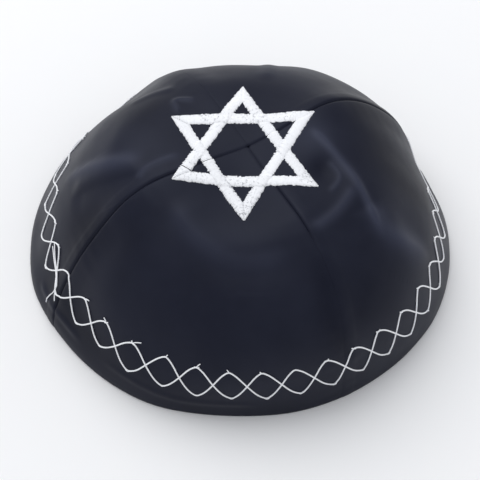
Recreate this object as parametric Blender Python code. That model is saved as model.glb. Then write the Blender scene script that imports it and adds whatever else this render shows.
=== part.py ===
"""A satin skullcap of four gores with a six-pointed star embroidered on its crown.

Metres, +Z up. The cap stands on its hem on the plane z = 0, and its front faces -Y.
A place on the cap is an azimuth, in degrees anticlockwise from +X, and a drop, in degrees
from the crown (0) down to the hem (90).
"""

import math

import bmesh
import bpy
from mathutils import Matrix, Vector

# Driving sizes of the cap
RIM_RADIUS = 0.085
CROWN_HEIGHT = 0.0675
HEM_HEIGHT = 0.002
WALL = 0.0012
SEAM_GAP = 0.00035

# Driving sizes of the embroidered star
STAR_RADIUS = 0.0332
STAR_BAR_WIDTH = 0.0042
STAR_THICKNESS = 0.0008
STAR_CLEARANCE = 0.00045

# The ridge that the folded cloth makes along each seam
SEAM_RIDGE_WIDTH = 0.006
SEAM_RIDGE_HEIGHT = 0.0019

# Offsets along X and Y: the hem's middle from the origin, the crown from the hem's middle,
# and the star's middle from the crown
RIM_CENTRE = (0.0014, -0.0011)
CROWN_OFFSET = (0.0019, 0.0010)
STAR_OFFSET = (-0.0014, -0.0015)

# How flat the crown is: 2 makes each section an ellipse, and more makes its top flatter
CROWN_FLATNESS = 3.85

# How finely the surfaces are divided
GORE_STEPS = 20
STAR_CUT_STEP = 0.0035
WALK_STEP = 3.0

# One row for each seam, anticlockwise from the back right one: how far it bows sideways
# on its way down, and how far it bends back again, in degrees.
FIRST_SEAM_AZIMUTH = 28.0
SEAMS = (
    # name, bow, bend
    ("back right seam", 4.0, 3.0),
    ("back left seam", 0.5, 0.0),
    ("front left seam", -3.0, 0.5),
    ("front right seam", 3.5, 1.0),
)

# One row for each upright section, at every seam and every gore's middle. rim is a share of
# RIM_RADIUS, slump is the power of the height (1 is plain, more is slimmer), and shoulder,
# a share of CROWN_HEIGHT, lifts the section half way down.
SECTIONS = (
    # name, rim, slump, shoulder
    ("back right seam", 0.989, 2.85, 0.095),
    ("back gore", 0.960, 1.67, -0.045),
    ("back left seam", 1.016, 2.42, -0.025),
    ("left gore", 1.025, 2.48, 0.070),
    ("front left seam", 1.000, 2.12, 0.095),
    ("front gore", 0.992, 1.13, -0.050),
    ("front right seam", 0.968, 0.67, -0.030),
    ("right gore", 0.998, 1.38, 0.005),
)

# One row for each dent (height below 0) or swelling of the soft cloth. azimuth, drop and turn
# are degrees; across, along and height are shares of RIM_RADIUS. across runs round the cap and
# along runs down it, and turn slants both.
FOLDS = (
    # name, azimuth, drop, turn, across, along, height
    ("hollow behind the left seam", 139, 55, 0, 0.115, 0.205, -0.040),
    ("tuck of the front hem", 265, 90, 0, 0.300, 0.175, -0.034),
    ("flare of the left hem", 193, 87, 0, 0.300, 0.180, 0.024),
    ("dip behind the crown", 88, 56, 0, 0.190, 0.190, -0.060),
    ("back right shoulder", 42, 57, 0, 0.365, 0.180, 0.045),
    ("dip below the right shoulder", 22, 70, 0, 0.160, 0.215, -0.026),
    ("dip along the left seam", 205, 48, 0, 0.190, 0.235, -0.046),
    ("swell below the star", 272, 29, 0, 0.330, 0.090, 0.025),
    ("pocket right of the star", 340, 23, -20, 0.070, 0.080, -0.018),
    ("crease round the pocket", 342, 32, 10, 0.160, 0.045, 0.012),
    ("ridge down the right gore", 335, 46, 8, 0.060, 0.220, 0.018),
    ("trough of the right gore", 8, 42, 0, 0.120, 0.200, -0.014),
    ("trough beside the front seam", 303, 60, 0, 0.070, 0.200, -0.012),
)

SECTION_STEP = 360.0 / len(SECTIONS)
GORE_SPAN = 360.0 / len(SEAMS)
GORE_NAMES = ("gore_back", "gore_left", "gore_front", "gore_right")

SATIN_COLOUR = (0.016, 0.017, 0.026, 1.0)
THREAD_COLOUR = (0.80, 0.81, 0.84, 1.0)


def clear_scene():
    for old in list(bpy.data.objects):
        bpy.data.objects.remove(old, do_unlink=True)


def new_material(name, colour, roughness):
    material = bpy.data.materials.new(name)
    material.use_nodes = True
    shader = material.node_tree.nodes["Principled BSDF"]
    shader.inputs["Base Color"].default_value = colour
    shader.inputs["Roughness"].default_value = roughness
    shader.inputs["Metallic"].default_value = 0.0
    return material


def smooth_between(values, position):
    """Catmull-Rom value at a position on a closed ring of values, one unit apart."""
    first = math.floor(position)
    t = position - first
    a, b, c, d = (values[(first + k) % len(values)] for k in (-1, 0, 1, 2))
    return b + 0.5 * t * (c - a + t * (2 * a - 5 * b + 4 * c - d + t * (3 * (b - c) + d - a)))


def turn_between(azimuth, other):
    """The short way round from one azimuth to another, in radians."""
    return math.radians((azimuth - other + 180.0) % 360.0 - 180.0)


def seam_azimuth(index, drop):
    """Where a seam is at a drop, in degrees; indexes past the last carry on round the cap."""
    _, bow, bend = SEAMS[index % len(SEAMS)]
    angle = math.radians(drop)
    return FIRST_SEAM_AZIMUTH + index * GORE_SPAN + bow * math.sin(2 * angle) + bend * math.sin(4 * angle)


def relief(azimuth, drop):
    """How far folds and seam ridges lift the cloth off its plain section."""
    angle = math.radians(drop)
    lift = 0.0
    for _, fold_azimuth, fold_drop, turn, across_share, along_share, height in FOLDS:
        across = math.sin(angle) * turn_between(azimuth, fold_azimuth)
        along = math.radians(drop - fold_drop)
        slant = math.radians(turn)
        u = across * math.cos(slant) + along * math.sin(slant)
        v = along * math.cos(slant) - across * math.sin(slant)
        swelling = math.exp(-((u / across_share) ** 2) - (v / along_share) ** 2)
        lift += height * RIM_RADIUS * swelling
    for index in range(len(SEAMS)):
        across = math.sin(angle) * turn_between(azimuth, seam_azimuth(index, drop))
        ridge = math.exp(-((across * RIM_RADIUS / SEAM_RIDGE_WIDTH) ** 2))
        lift += SEAM_RIDGE_HEIGHT * ridge * math.sin(2 * angle)
    return lift


def cap_point(azimuth, drop, outside=0.0):
    """The point of the cap's outer face at a place, moved out from it by a distance."""
    angle = math.radians(drop)
    place = (azimuth - FIRST_SEAM_AZIMUTH) / SECTION_STEP
    rim, slump, shoulder = (
        smooth_between([row[column] for row in SECTIONS], place) for column in (1, 2, 3)
    )
    dome_height = CROWN_HEIGHT - HEM_HEIGHT
    flat_topped = max(1.0 - math.sin(angle) ** CROWN_FLATNESS, 0.0)
    height = dome_height * flat_topped ** (0.5 * slump)
    height += shoulder * CROWN_HEIGHT * math.sin(2 * angle) ** 2
    spread = math.sin(angle)
    round_the_cap = Vector((math.cos(math.radians(azimuth)), math.sin(math.radians(azimuth)), 0.0))
    crown = Vector((*CROWN_OFFSET, 0.0))
    plan = round_the_cap * rim * RIM_RADIUS * spread + crown * (1.0 - spread)
    centre = Vector((*RIM_CENTRE, 0.0))
    outward = round_the_cap * math.sin(angle) + Vector((0.0, 0.0, math.cos(angle)))
    moved = relief(azimuth, drop) + outside
    return centre + plan + Vector((0.0, 0.0, HEM_HEIGHT + height)) + outward * moved


def drop_at_reach(azimuth, reach):
    """The drop of the place that lies a distance down the cloth from the crown."""
    drop = 0.0
    before = cap_point(azimuth, drop)
    while True:
        after = cap_point(azimuth, drop + WALK_STEP)
        stride = (after - before).length
        if reach <= stride:
            return drop + WALK_STEP * reach / stride
        reach -= stride
        drop += WALK_STEP
        before = after


def gore_place(index, u, v):
    """Lays the unit square on a gore. Corner (0, 0) is the crown, the sides from it are seams."""
    outer = max(u, v)
    if outer == 0.0:
        return seam_azimuth(index, 0.0), 0.0
    drop = 90.0 * outer
    share = 0.5 * v / u if u >= v else 1.0 - 0.5 * u / v
    start, end = seam_azimuth(index, drop), seam_azimuth(index + 1, drop)
    return start + share * (end - start), drop


def gore_offset(index):
    """Moves a gore along its middle line until half a seam gap opens at both its seams."""
    middle = math.radians(FIRST_SEAM_AZIMUTH + (index + 0.5) * GORE_SPAN)
    reach = 0.5 * SEAM_GAP / math.sin(math.radians(0.5 * GORE_SPAN))
    return Vector((math.cos(middle), math.sin(middle), 0.0)) * reach


def new_object(name, mesh_data, material, collection):
    mesh_data.materials.clear()
    mesh_data.materials.append(material)
    mesh_data.shade_smooth()
    mesh_data.set_sharp_from_angle(angle=math.radians(40))
    piece = bpy.data.objects.new(name, mesh_data)
    collection.objects.link(piece)
    return piece


def hem_edges(bm):
    """The edges of the slab's two far sides, which become the hem."""
    far = 1.0 - 1e-6
    return [
        edge
        for edge in bm.edges
        if edge.is_boundary
        and (all(v.co.x > far for v in edge.verts) or all(v.co.y > far for v in edge.verts))
    ]


def face_outwards(bm):
    bmesh.ops.recalc_face_normals(bm, faces=bm.faces)
    if bm.calc_volume(signed=True) < 0.0:
        bmesh.ops.reverse_faces(bm, faces=bm.faces)


def only_verts(elements):
    return {element for element in elements if isinstance(element, bmesh.types.BMVert)}


def build_gore(index, material, collection):
    """One gore: a unit square with an upright hem, thickened inwards and laid on the dome."""
    bm = bmesh.new()
    bmesh.ops.create_grid(bm, x_segments=GORE_STEPS, y_segments=GORE_STEPS, size=0.5)
    bmesh.ops.translate(bm, verts=bm.verts, vec=(0.5, 0.5, 0.0))
    floor_row = only_verts(bmesh.ops.extrude_edge_only(bm, edges=hem_edges(bm))["geom"])
    # The floor row lies one unit below the square until the gore is laid.
    bmesh.ops.translate(bm, verts=list(floor_row), vec=(0.0, 0.0, -1.0))
    inner = only_verts(bmesh.ops.extrude_face_region(bm, geom=list(bm.faces))["geom"])
    for vert in bm.verts:
        on_floor = vert.co.z < -0.5
        azimuth, drop = gore_place(index, vert.co.x, vert.co.y)
        vert.co = cap_point(azimuth, drop, -WALL if vert in inner else 0.0)
        if on_floor:
            vert.co.z = 0.0
    face_outwards(bm)
    bmesh.ops.triangulate(bm, faces=bm.faces)
    mesh = bpy.data.meshes.new(GORE_NAMES[index])
    bm.to_mesh(mesh)
    bm.free()
    gore = new_object(GORE_NAMES[index], mesh, material, collection)
    gore.location = gore_offset(index)
    return gore


def triangle_prism(name, radius, height, point_azimuth, collection):
    """A flat three-cornered prism round the Z axis, with one corner at an azimuth."""
    bm = bmesh.new()
    bmesh.ops.create_cone(
        bm,
        cap_ends=True,
        segments=3,
        radius1=radius,
        radius2=radius,
        depth=height,
        matrix=Matrix.Rotation(math.radians(point_azimuth + 90.0), 4, "Z"),
    )
    mesh = bpy.data.meshes.new(name)
    bm.to_mesh(mesh)
    bm.free()
    prism = bpy.data.objects.new(name, mesh)
    collection.objects.link(prism)
    return prism


def add_boolean(target, other, operation):
    modifier = target.modifiers.new(other.name, "BOOLEAN")
    modifier.operation = operation
    modifier.object = other
    modifier.solver = "EXACT"
    other.hide_render = True
    other.display_type = "WIRE"


def triangle_frame(point_azimuth, collection):
    """The outline of one triangle, in bars of one width."""
    name = f"triangle_{point_azimuth}"
    frame = triangle_prism(name, STAR_RADIUS, STAR_THICKNESS, point_azimuth, collection)
    inside_radius = STAR_RADIUS - 2.0 * STAR_BAR_WIDTH
    inside = triangle_prism(f"{name}_inside", inside_radius, 3.0 * STAR_THICKNESS, point_azimuth, collection)
    add_boolean(frame, inside, "DIFFERENCE")
    return frame


def cut_by_planes(bm):
    """Cuts the flat star along a square mesh of planes, so that it can bend over the crown."""
    count = math.ceil(STAR_RADIUS / STAR_CUT_STEP)
    for axis in (Vector((1.0, 0.0, 0.0)), Vector((0.0, 1.0, 0.0))):
        for k in range(-count, count):
            bmesh.ops.bisect_plane(
                bm,
                geom=list(bm.verts) + list(bm.edges) + list(bm.faces),
                plane_co=axis * (k + 0.5) * STAR_CUT_STEP,
                plane_no=axis,
            )


def build_star(material, collection, cutters):
    """Two crossed triangle frames, joined flat, then laid on the crown over a small clearance."""
    upward = triangle_frame(90, cutters)
    downward = triangle_frame(-90, cutters)
    add_boolean(upward, downward, "UNION")
    upward.hide_render = True
    bpy.context.view_layer.update()
    evaluated = upward.evaluated_get(bpy.context.evaluated_depsgraph_get())
    mesh = bpy.data.meshes.new_from_object(evaluated)
    bm = bmesh.new()
    bm.from_mesh(mesh)
    cut_by_planes(bm)
    bmesh.ops.triangulate(bm, faces=bm.faces)
    centre = Vector((*STAR_OFFSET, 0.0))
    for vert in bm.verts:
        flat = vert.co + centre
        azimuth = math.degrees(math.atan2(flat.y, flat.x))
        drop = drop_at_reach(azimuth, flat.xy.length)
        height = STAR_CLEARANCE + 0.5 * STAR_THICKNESS + vert.co.z
        vert.co = cap_point(azimuth, drop, height)
    bm.to_mesh(mesh)
    bm.free()
    mesh.name = "star_embroidery"
    return new_object("star_embroidery", mesh, material, collection)


def main():
    clear_scene()
    cap = bpy.data.collections.new("skullcap")
    cutters = bpy.data.collections.new("cutters")
    for collection in (cap, cutters):
        bpy.context.scene.collection.children.link(collection)
    satin = new_material("navy_satin", SATIN_COLOUR, 0.42)
    thread = new_material("silver_white_thread", THREAD_COLOUR, 0.45)
    for index in range(len(SEAMS)):
        build_gore(index, satin, cap)
    build_star(thread, cap, cutters)


main()
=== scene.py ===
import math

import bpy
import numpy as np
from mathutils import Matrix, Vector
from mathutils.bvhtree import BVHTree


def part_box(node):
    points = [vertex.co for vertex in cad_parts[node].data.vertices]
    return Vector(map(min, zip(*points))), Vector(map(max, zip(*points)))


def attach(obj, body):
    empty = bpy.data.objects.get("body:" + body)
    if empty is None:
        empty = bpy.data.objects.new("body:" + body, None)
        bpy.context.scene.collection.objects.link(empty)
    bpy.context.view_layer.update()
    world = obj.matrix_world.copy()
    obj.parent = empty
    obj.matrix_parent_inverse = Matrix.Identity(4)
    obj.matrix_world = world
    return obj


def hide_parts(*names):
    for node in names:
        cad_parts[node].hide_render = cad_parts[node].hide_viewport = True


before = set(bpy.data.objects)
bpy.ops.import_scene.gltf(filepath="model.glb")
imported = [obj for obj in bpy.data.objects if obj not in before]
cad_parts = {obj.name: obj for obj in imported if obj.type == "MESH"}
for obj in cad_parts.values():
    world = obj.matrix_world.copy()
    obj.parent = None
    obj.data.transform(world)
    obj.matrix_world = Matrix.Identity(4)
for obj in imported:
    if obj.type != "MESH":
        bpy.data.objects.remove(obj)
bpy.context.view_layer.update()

# %% [markdown]
# # A satin skullcap, sewn from four gores
# The real thing is a soft cap of dark polyester satin. Four gores meet at the crown, the hem is
# turned in, a six-pointed star is machine-embroidered over the crown, and a double zigzag of the
# same thread runs round above the hem. A imported CAD model gives the shape of the dome. This
# script dresses it, and every piece below is laid on that dome. Three kinds of numbers come from
# outside this script. The camera and the star's small shifts and bends were fitted to places
# read from the photograph. The border, its fastening stitches and the folds began as places read
# from it and were then set in round numbers and judged. The colours were matched by trial.
# Lengths are in metres and angles in degrees, unless a name says mm.

MM = 0.001

# %% [markdown]
# ## Where things are on a dome
# A place on the cap could be given by x and y, but the steep front would then be squeezed into a
# few millimetres. The upright line through the crown is a better guide: a place is an azimuth
# about that line and a tilt away from it, 0 at the crown and 90 at the hem. The gores' own boxes
# say where the line stands, because all four meet on it.

# %% The crown's upright line
GORES = ("gore_back", "gore_left", "gore_front", "gore_right")
boxes = {name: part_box(name) for name in GORES}
FOOT = np.array([
    0.5 * (boxes["gore_left"][1].x + boxes["gore_right"][0].x),
    0.5 * (boxes["gore_front"][1].y + boxes["gore_back"][0].y),
    0.0,
])
print("foot of the crown's line, mm:", np.round(FOOT / MM, 2))


def directions(azimuth, tilt):
    """Unit vectors from the foot of the crown's line towards places on the cap."""
    a, t = np.broadcast_arrays(np.radians(azimuth), np.radians(tilt))
    return np.stack([np.sin(t) * np.cos(a), np.sin(t) * np.sin(a), np.cos(t)], axis=-1)


# %% [markdown]
# ## Reading the dome
# Rays from outside towards the foot of the line meet the outer face of the gores. Their lengths
# make a map of the dome by azimuth and tilt, and the gore that each ray meets says where the
# seams run. A ray that slips into the gap of a seam is left out, and filled in from the rays
# beside it. Reading the shape with rays, and not copying the solids' own corners, lets the cloth
# be divided as finely as its folds need.

# %% Cast rays at the gores
AZIMUTH_STEP = 2.0
TILT_STEP = 1.5
HEM_TILT = 90.0
LOWEST_RAY = 89.8
RAY_START = 0.2
LEAST_FACING = 0.4
NEAREST_HIT = 0.03
azimuths = np.arange(0.0, 360.0, AZIMUTH_STEP)
tilts = np.arange(0.0, HEM_TILT + 0.5 * TILT_STEP, TILT_STEP)


def gore_tree():
    """One search tree over all four gores, and the gore that each triangle belongs to."""
    corners, faces, owners = [], [], []
    for number, name in enumerate(GORES):
        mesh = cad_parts[name].data
        first = len(corners)
        corners += [vert.co.copy() for vert in mesh.vertices]
        for polygon in mesh.polygons:
            faces.append([first + k for k in polygon.vertices])
            owners.append(number)
    return BVHTree.FromPolygons(corners, faces), owners


TREE, OWNERS = gore_tree()


def meet(azimuth, tilt):
    """How far from the foot a ray meets the outer face, and which gore it meets."""
    way = Vector(directions(azimuth, min(tilt, LOWEST_RAY)))
    foot = Vector(FOOT)
    hit, normal, face, _ = TREE.ray_cast(foot + way * RAY_START, -way)
    if hit is None or abs(normal.dot(way)) < LEAST_FACING or (hit - foot).dot(way) < NEAREST_HIT:
        return None, None
    return (hit - foot).length, OWNERS[face]


def fill_misses(radii):
    """Spreads the neighbours' values into the rays that slipped through a seam."""
    missed = np.isnan(radii)
    radii[missed] = np.nanmean(radii)
    half_turn = len(azimuths) // 2
    for _ in range(300):
        over_crown = np.roll(radii[:, 1:2], half_turn, axis=0)
        inward = np.hstack([over_crown, radii[:, :-1]])
        outward = np.hstack([radii[:, 1:], radii[:, -1:]])
        around = np.roll(radii, 1, axis=0) + np.roll(radii, -1, axis=0)
        radii[missed] = (0.25 * (inward + outward + around))[missed]
    return radii


hits = np.array([[meet(a, t)[0] or np.nan for t in tilts] for a in azimuths], dtype=float)
print("rays:", hits.size, "missed:", int(np.isnan(hits).sum()))
RAW_DOME = fill_misses(hits)

# %% [markdown]
# The solids have flat facets, and satin would show each one as a flash of light. A soft blur of
# about two millimetres takes the facets away and keeps the folds. Round the cap it is made on the
# waves of each ring, so that it is as wide in millimetres near the crown as at the hem.

# %% Smooth the map
BLUR = 2.2 * MM


def smooth_dome(radii):
    rings = np.fft.rfft(radii, axis=0)
    order = np.arange(rings.shape[0])[:, None]
    reach = radii.mean(axis=0) * np.sin(np.radians(tilts)) + 1e-6
    radii = np.fft.irfft(rings * np.exp(-0.5 * (order * BLUR / reach) ** 2), len(azimuths), axis=0)
    blur_rows = BLUR / (radii.mean() * math.radians(TILT_STEP))
    pad = 6
    over_crown = np.roll(radii[:, pad:0:-1], len(azimuths) // 2, axis=0)
    slope = radii[:, -1:] - radii[:, -2:-1]
    below_hem = radii[:, -1:] + slope * np.arange(1, pad + 1)
    wide = np.hstack([over_crown, radii, below_hem])
    taps = np.arange(-pad, pad + 1)
    weights = np.exp(-0.5 * (taps / blur_rows) ** 2)
    weights /= weights.sum()
    return sum(w * wide[:, pad + k: pad + k + radii.shape[1]] for k, w in zip(taps, weights))


DOME = smooth_dome(RAW_DOME)
PAD = 3
crown_side = np.roll(DOME[:, PAD:0:-1], len(azimuths) // 2, axis=0)
hem_side = DOME[:, -1:] + (DOME[:, -1:] - DOME[:, -2:-1]) * np.arange(1, PAD + 1)
WIDE_DOME = np.hstack([crown_side, DOME, hem_side])
print("largest change by smoothing, mm:", round(float(np.abs(DOME - RAW_DOME).max() / MM), 2))

# %% [markdown]
# Between the rays the map is read with cubic weights, which keep the slope as well as the height
# smooth. The slope is what satin shows most. The normal is taken in the flat plan round the
# crown, because azimuth means nothing at the crown itself.

# %% Points and normals of the dome
def cubic_weights(t):
    return (
        0.5 * (-t + 2 * t ** 2 - t ** 3),
        0.5 * (2 - 5 * t ** 2 + 3 * t ** 3),
        0.5 * (t + 4 * t ** 2 - 3 * t ** 3),
        0.5 * (t ** 3 - t ** 2),
    )


def dome_radius(azimuth, tilt):
    a = np.mod(azimuth, 360.0) / AZIMUTH_STEP
    t = np.clip(tilt, 0.0, HEM_TILT) / TILT_STEP + PAD
    i, j = np.floor(a).astype(int), np.floor(t).astype(int)
    across, along = cubic_weights(a - i), cubic_weights(t - j)
    total = 0.0
    for m in range(4):
        for n in range(4):
            column = np.clip(j + n - 1, 0, WIDE_DOME.shape[1] - 1)
            total = total + across[m] * along[n] * WIDE_DOME[(i + m - 1) % len(azimuths), column]
    return total


def dome_point(azimuth, tilt):
    return FOOT + directions(azimuth, tilt) * dome_radius(azimuth, tilt)[..., None]


def dome_normal(azimuth, tilt):
    step = 0.4
    a = np.radians(azimuth)
    tilt = np.minimum(tilt, HEM_TILT - step)
    x, y = tilt * np.cos(a), tilt * np.sin(a)

    def plan_point(px, py):
        return dome_point(np.degrees(np.arctan2(py, px)), np.hypot(px, py))

    along_x = plan_point(x + step, y) - plan_point(x - step, y)
    along_y = plan_point(x, y + step) - plan_point(x, y - step)
    normal = np.cross(along_x, along_y)
    return normal / np.linalg.norm(normal, axis=-1, keepdims=True)


# %% [markdown]
# Sewing is measured along the cloth: the border keeps its distance from the hem, and the star
# its reach from the crown. Adding up the steps down each line of rays turns tilt into reach.

# %% Reach down the cloth from the crown
fine_tilts = np.linspace(0.0, HEM_TILT, 181)
ring_points = dome_point(azimuths[:, None], fine_tilts[None, :])
steps = np.linalg.norm(np.diff(ring_points, axis=1), axis=-1)
REACH = np.hstack([np.zeros((len(azimuths), 1)), np.cumsum(steps, axis=1)])
print("crown to hem along the cloth, mm:", np.round(REACH[::45, -1] / MM, 1))


def reach_rows(azimuth):
    """The reach at every fine tilt, for each of some azimuths."""
    a = np.mod(azimuth, 360.0) / AZIMUTH_STEP
    i = np.floor(a).astype(int)
    share = (a - i)[..., None]
    return REACH[i % len(azimuths)] * (1.0 - share) + REACH[(i + 1) % len(azimuths)] * share


def reach_at(azimuth, tilt):
    rows = reach_rows(azimuth)
    t = np.clip(tilt, 0.0, HEM_TILT) / HEM_TILT * (len(fine_tilts) - 1)
    j = np.minimum(t.astype(int), len(fine_tilts) - 2)
    low = np.take_along_axis(rows, j[..., None], -1)[..., 0]
    high = np.take_along_axis(rows, j[..., None] + 1, -1)[..., 0]
    return low + (high - low) * (t - j), rows[..., -1]


def tilt_at_reach(azimuth, reach):
    azimuth, reach = np.atleast_1d(azimuth), np.atleast_1d(reach)
    rows = reach_rows(azimuth)
    return np.array([np.interp(r, row, fine_tilts) for r, row in zip(reach, rows)])


def tilt_above_hem(azimuth, height):
    azimuth, height = np.atleast_1d(azimuth), np.atleast_1d(height)
    return tilt_at_reach(azimuth, reach_rows(azimuth)[:, -1] - height)


# %% [markdown]
# ## Where the seams run
# The gore that a ray meets changes at a seam. Halving the step between two rays again and again
# closes in on it, and a smooth curve through those places makes a seam that bends as the cloth does.

# %% Find the seams
SEAM_ROWS = np.arange(12.0, HEM_TILT, 3.0)


def seam_between(first, second, guess, tilt):
    low, high = guess - 22.0, guess + 22.0
    for _ in range(14):
        middle = 0.5 * (low + high)
        owner = meet(middle, tilt)[1]
        if owner is None:
            break
        if owner == second:
            high = middle
        else:
            low = middle
    return 0.5 * (low + high)


def trace_seam(first, second):
    """The seam's azimuth at every fine tilt, followed upwards from the hem."""
    sides = []
    for name in (GORES[first], GORES[second]):
        low, high = boxes[name]
        sides.append(math.degrees(math.atan2(low.y + high.y - 2 * FOOT[1], low.x + high.x - 2 * FOOT[0])))
    guess = sides[0] + 0.5 * ((sides[1] - sides[0]) % 360.0)
    found = []
    for tilt in SEAM_ROWS[::-1]:
        guess = seam_between(first, second, guess, tilt)
        found.append(guess)
    curve = np.polynomial.Polynomial.fit(SEAM_ROWS[::-1], found, 6)
    return curve(np.maximum(fine_tilts, SEAM_ROWS[0]))


SEAM_TABLES = [trace_seam(k, (k + 1) % len(GORES)) for k in range(len(GORES))]
for k in range(1, len(GORES)):
    while SEAM_TABLES[k][-1] < SEAM_TABLES[k - 1][-1]:
        SEAM_TABLES[k] = SEAM_TABLES[k] + 360.0


def seam_azimuth(number, tilt):
    """Where the seam after a gore is. Counting past the last gore goes on round the cap."""
    turns, index = divmod(number, len(GORES))
    return np.interp(tilt, fine_tilts, SEAM_TABLES[index]) + 360.0 * turns


for k, name in enumerate(GORES):
    print("seam after", name, "from crown to hem:", np.round(SEAM_TABLES[k][20::40], 1))

# %% [markdown]
# ## Colours
# A photograph, a swatch and a paint tin all give sRGB colours, but light is added up in linear
# values. One function turns a hex colour into those, and every colour below goes through it.

# %% From hex to linear
def linear(hex_colour):
    """Linear RGBA from an sRGB hex colour."""
    channels = [int(hex_colour[k:k + 2], 16) / 255.0 for k in (1, 3, 5)]
    return tuple(c / 12.92 if c <= 0.04045 else ((c + 0.055) / 1.055) ** 2.4 for c in channels) + (1.0,)


def node(tree, kind, settings=None, **links):
    """Adds a node. Settings go on its properties or sockets, and links join its inputs."""
    made = tree.nodes.new(kind)
    for name, value in (settings or {}).items():
        if isinstance(name, str) and hasattr(made, name):
            setattr(made, name, value)
        else:
            made.inputs[name].default_value = value
    for name, source in links.items():
        key = int(name[1:]) if name[0] == "i" and name[1:].isdigit() else name.replace("_", " ")
        tree.links.new(source, made.inputs[key])
    return made


def new_material(name):
    material = bpy.data.materials.new(name)
    material.use_nodes = True
    tree = material.node_tree
    return material, tree, tree.nodes["Principled BSDF"]


# %% [markdown]
# ## Polyester satin
# The cap is cut from polyester satin. Its long weft floats lie side by side on the face, so it is
# smooth and gleams softly, and broad light slides over its folds. Real floats are about 0.15 mm
# apart, far finer than this picture shows, so they are drawn 0.5 mm apart and kept very faint.
# The dye is a navy near black. Polyester's index of refraction is about 1.57.
# The threads could be modelled, or drawn by an image, but ripples across the cloth's own grain
# follow every gore and need neither. The grain is kept on each corner as "weave_place", in metres.
# Painted sheen and painted shade: at listed patches and creases the satin's colour is made paler, as a
# painted highlight, or darker, as a painted shade. That is kept on each corner as an attribute, which is
# added to the mix of the two colours.

# %% Satin
# The mix runs from the dark to the light colour: the satin's own tones, plus painted sheen or painted shade
# where the patches push it.
SATIN_DARK = "#0b0d1b"
SATIN_LIGHT = "#343746"
SATIN_GLEAM = "#eaf0ff"
SATIN_SHEEN = "#8f95ab"
WRONG_SIDE_DARK = "#12131c"
WRONG_SIDE_LIGHT = "#3a3c48"
PLAIN_TONE = 0.22
FLOAT_PITCH = 0.5 * MM
POLYESTER_IOR = 1.57


def make_satin(name, dark, light, roughness, sheen):
    material, tree, shader = new_material(name)
    place = node(tree, "ShaderNodeAttribute", {"attribute_name": "weave_place"}).outputs["Vector"]
    body = node(tree, "ShaderNodeTexCoord").outputs["Object"]
    cloud = node(tree, "ShaderNodeTexNoise", {"Scale": 38.0, "Detail": 3.0, "Roughness": 0.55}, Vector=body)
    # Painted sheen and painted shade from the listed patches and creases are added to the colour mix here.
    painted_sheen_and_shade = node(tree, "ShaderNodeAttribute", {"attribute_name": "painted_sheen_and_shade"}).outputs["Fac"]
    tone = node(
        tree, "ShaderNodeMapRange",
        {"From Min": 0.3, "From Max": 0.7, "To Min": PLAIN_TONE - 0.07, "To Max": PLAIN_TONE + 0.07},
        Value=cloud.outputs["Fac"],
    )
    paler = node(
        tree, "ShaderNodeMath", {"operation": "ADD", "use_clamp": True},
        i0=tone.outputs["Result"], i1=painted_sheen_and_shade,
    )
    colour = node(
        tree, "ShaderNodeMix", {"data_type": "RGBA", 6: linear(dark), 7: linear(light)},
        i0=paler.outputs[0],
    )
    tree.links.new(colour.outputs[2], shader.inputs["Base Color"])
    slub = node(tree, "ShaderNodeTexNoise", {"Scale": 150.0, "Detail": 2.0}, Vector=body)
    gloss = node(
        tree, "ShaderNodeMapRange", {"To Min": roughness - 0.05, "To Max": roughness + 0.06},
        Value=slub.outputs["Fac"],
    )
    tree.links.new(gloss.outputs["Result"], shader.inputs["Roughness"])
    floats = node(
        tree, "ShaderNodeTexWave",
        {"wave_type": "BANDS", "bands_direction": "Y", "Scale": 2.0 * math.pi / (20.0 * FLOAT_PITCH),
         "Distortion": 1.2, "Detail": 1.0, "Detail Scale": 2.0},
        Vector=place,
    )
    grain = node(tree, "ShaderNodeTexNoise", {"Scale": 900.0, "Detail": 2.0}, Vector=place)
    relief = node(
        tree, "ShaderNodeMath", {"operation": "MULTIPLY_ADD", 1: 0.35},
        i0=grain.outputs["Fac"], i2=floats.outputs["Fac"],
    )
    bump = node(
        tree, "ShaderNodeBump", {"Strength": 0.25, "Distance": 0.02 * MM}, Height=relief.outputs[0],
    )
    tree.links.new(bump.outputs["Normal"], shader.inputs["Normal"])
    shader.inputs["IOR"].default_value = POLYESTER_IOR
    shader.inputs["Specular IOR Level"].default_value = 0.11
    shader.inputs["Specular Tint"].default_value = linear(SATIN_GLEAM)
    shader.inputs["Sheen Weight"].default_value = sheen
    shader.inputs["Sheen Roughness"].default_value = 0.45
    shader.inputs["Sheen Tint"].default_value = linear(SATIN_SHEEN)
    return material


SATIN = make_satin("navy_polyester_satin", SATIN_DARK, SATIN_LIGHT, 0.42, 0.0)
SATIN_WRONG_SIDE = make_satin("satin_wrong_side", WRONG_SIDE_DARK, WRONG_SIDE_LIGHT, 0.62, 0.08)
print("materials:", SATIN.name, SATIN_WRONG_SIDE.name)

# %% [markdown]
# ## How sewing shapes the cloth
# A seam is a small valley: the two gores roll down into it, and the allowances behind are pressed
# to one side, which lifts that side a little. The thread also draws the cloth in, so it puckers
# beside the seam. All of that is one height, added along the dome's normal, and it depends on how
# far a place is from the seam.

# %% Seams in the cloth
SEAM_ROLL = 0.55 * MM
ALLOWANCE = 5.0 * MM
PUCKER_REACH = 9.0 * MM
SEAM_LOOKS = (
    # after gore, side that the allowances lie on (+1 is anticlockwise), lift mm, groove mm,
    # pucker mm, and how far down the cloth the groove stays deep, in mm
    ("gore_back", 1, 0.03, 0.10, 0.02, 40.0),
    ("gore_left", -1, 0.12, 0.65, 0.04, 130.0),
    ("gore_front", 1, 0.10, 0.60, 0.03, 58.0),
    ("gore_right", 1, 0.12, 0.75, 0.02, 130.0),
)


def smooth_step(value):
    share = np.clip(value, 0.0, 1.0)
    return share * share * (3.0 - 2.0 * share)


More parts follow.
